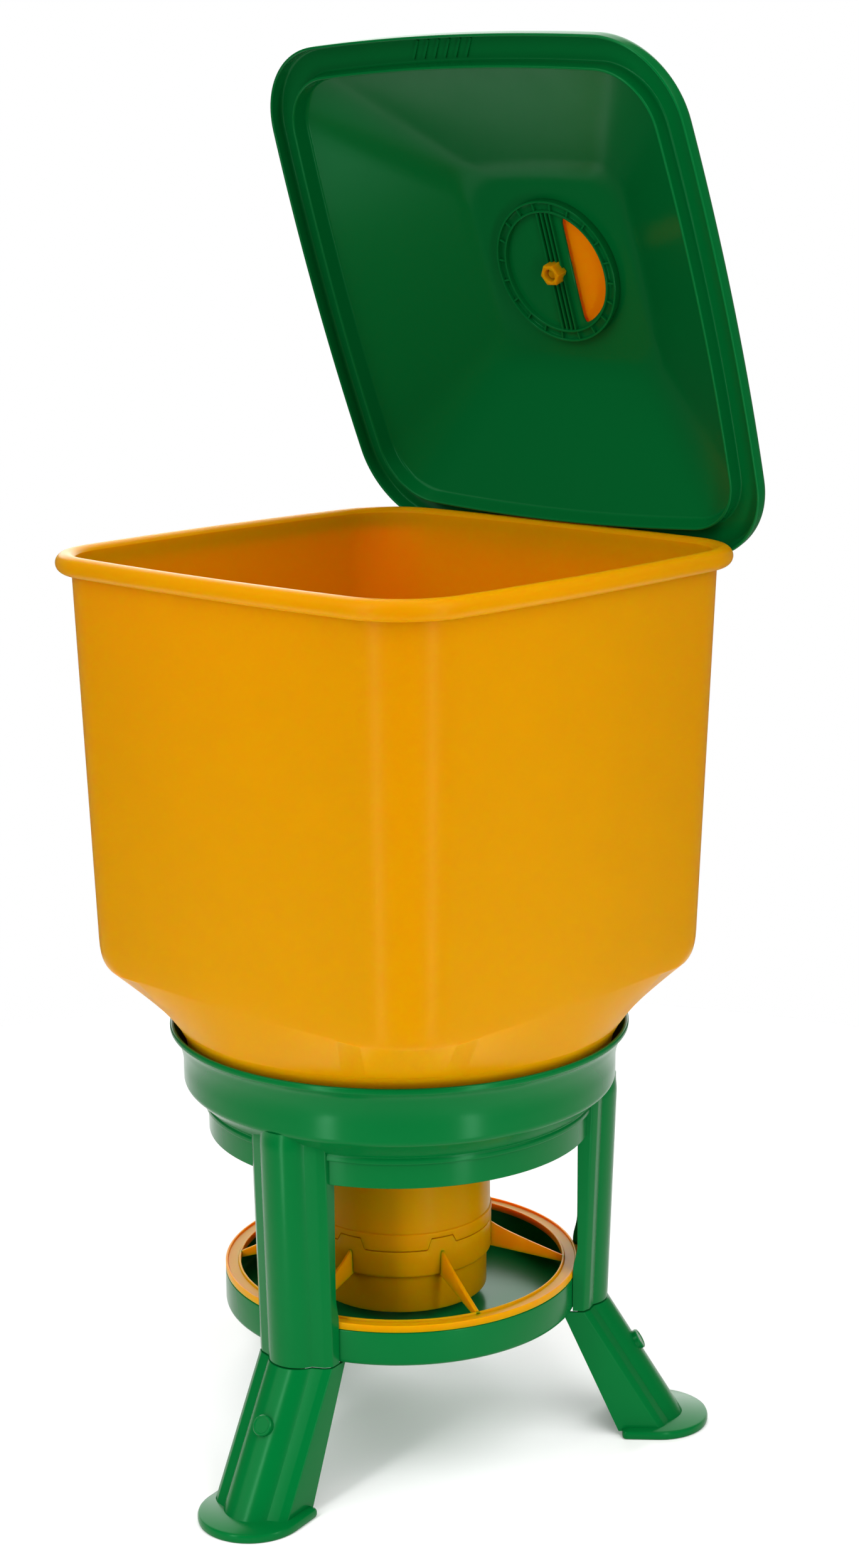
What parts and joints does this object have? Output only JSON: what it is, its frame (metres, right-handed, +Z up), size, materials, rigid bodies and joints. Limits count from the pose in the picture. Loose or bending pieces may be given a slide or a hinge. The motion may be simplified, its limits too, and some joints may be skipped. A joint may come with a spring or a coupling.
{
  "type": "tripod gravity feeder",
  "caption": "Free-standing gravity feeder: square hopper with hinged vented lid, round collar on splayed channel legs, metering tube and pan with spoked anti-waste grid.",
  "frame": {"origin": "middle of the footprint with the lid open, on the floor under the feet", "axes": "+Z up, +Y towards the lid's hinge, +X to the right seen from the front"},
  "size_m": [0.4346, 0.4568, 1.0615],
  "materials": {
    "yellow_plastic": "injection-moulded, satin gloss",
    "green_plastic": "injection-moulded, satin gloss"
  },
  "bodies": {
    "stand": {"collar": "green_plastic", "feed_pan": "green_plastic", "anti_waste_grid": "yellow_plastic", "leg_front": "green_plastic", "foot_front": "green_plastic", "foot_pin_front": "green_plastic", "leg_right": "green_plastic", "foot_right": "green_plastic", "foot_pin_right": "green_plastic", "leg_left": "green_plastic", "foot_left": "green_plastic", "foot_pin_left": "green_plastic"},
    "feed_tube": {"feed_tube": "yellow_plastic"},
    "hopper": {"hopper": "yellow_plastic"},
    "lid": {"lid": "green_plastic", "vent_disc": "green_plastic", "hinge_clip_left": "green_plastic", "hinge_clip_right": "green_plastic"},
    "vent_cap": {"vent_cap": "yellow_plastic", "vent_nut": "yellow_plastic"}
  },
  "joints": [
    {"name": "tube_lift", "type": "slide", "parent": "stand", "child": "feed_tube", "axis": [0, 0, 1], "range_m": [0, 0.015]},
    {"name": "hopper_lift", "type": "slide", "parent": "stand", "child": "hopper", "axis": [0, 0, 1], "range_m": [0, 0.25]},
    {"name": "lid_hinge", "type": "hinge", "parent": "hopper", "child": "lid", "pos_m": [0.01114, 0.20187, 0.6847], "axis": [-1, 0, 0], "range_deg": [-69.7, 22]},
    {"name": "vent_cap_turn", "type": "hinge", "parent": "lid", "child": "vent_cap", "pos_m": [0.01114, 0.19918, 0.88885], "axis": [0, 0.9379, 0.3469], "range_deg": [0, 180]}
  ]
}
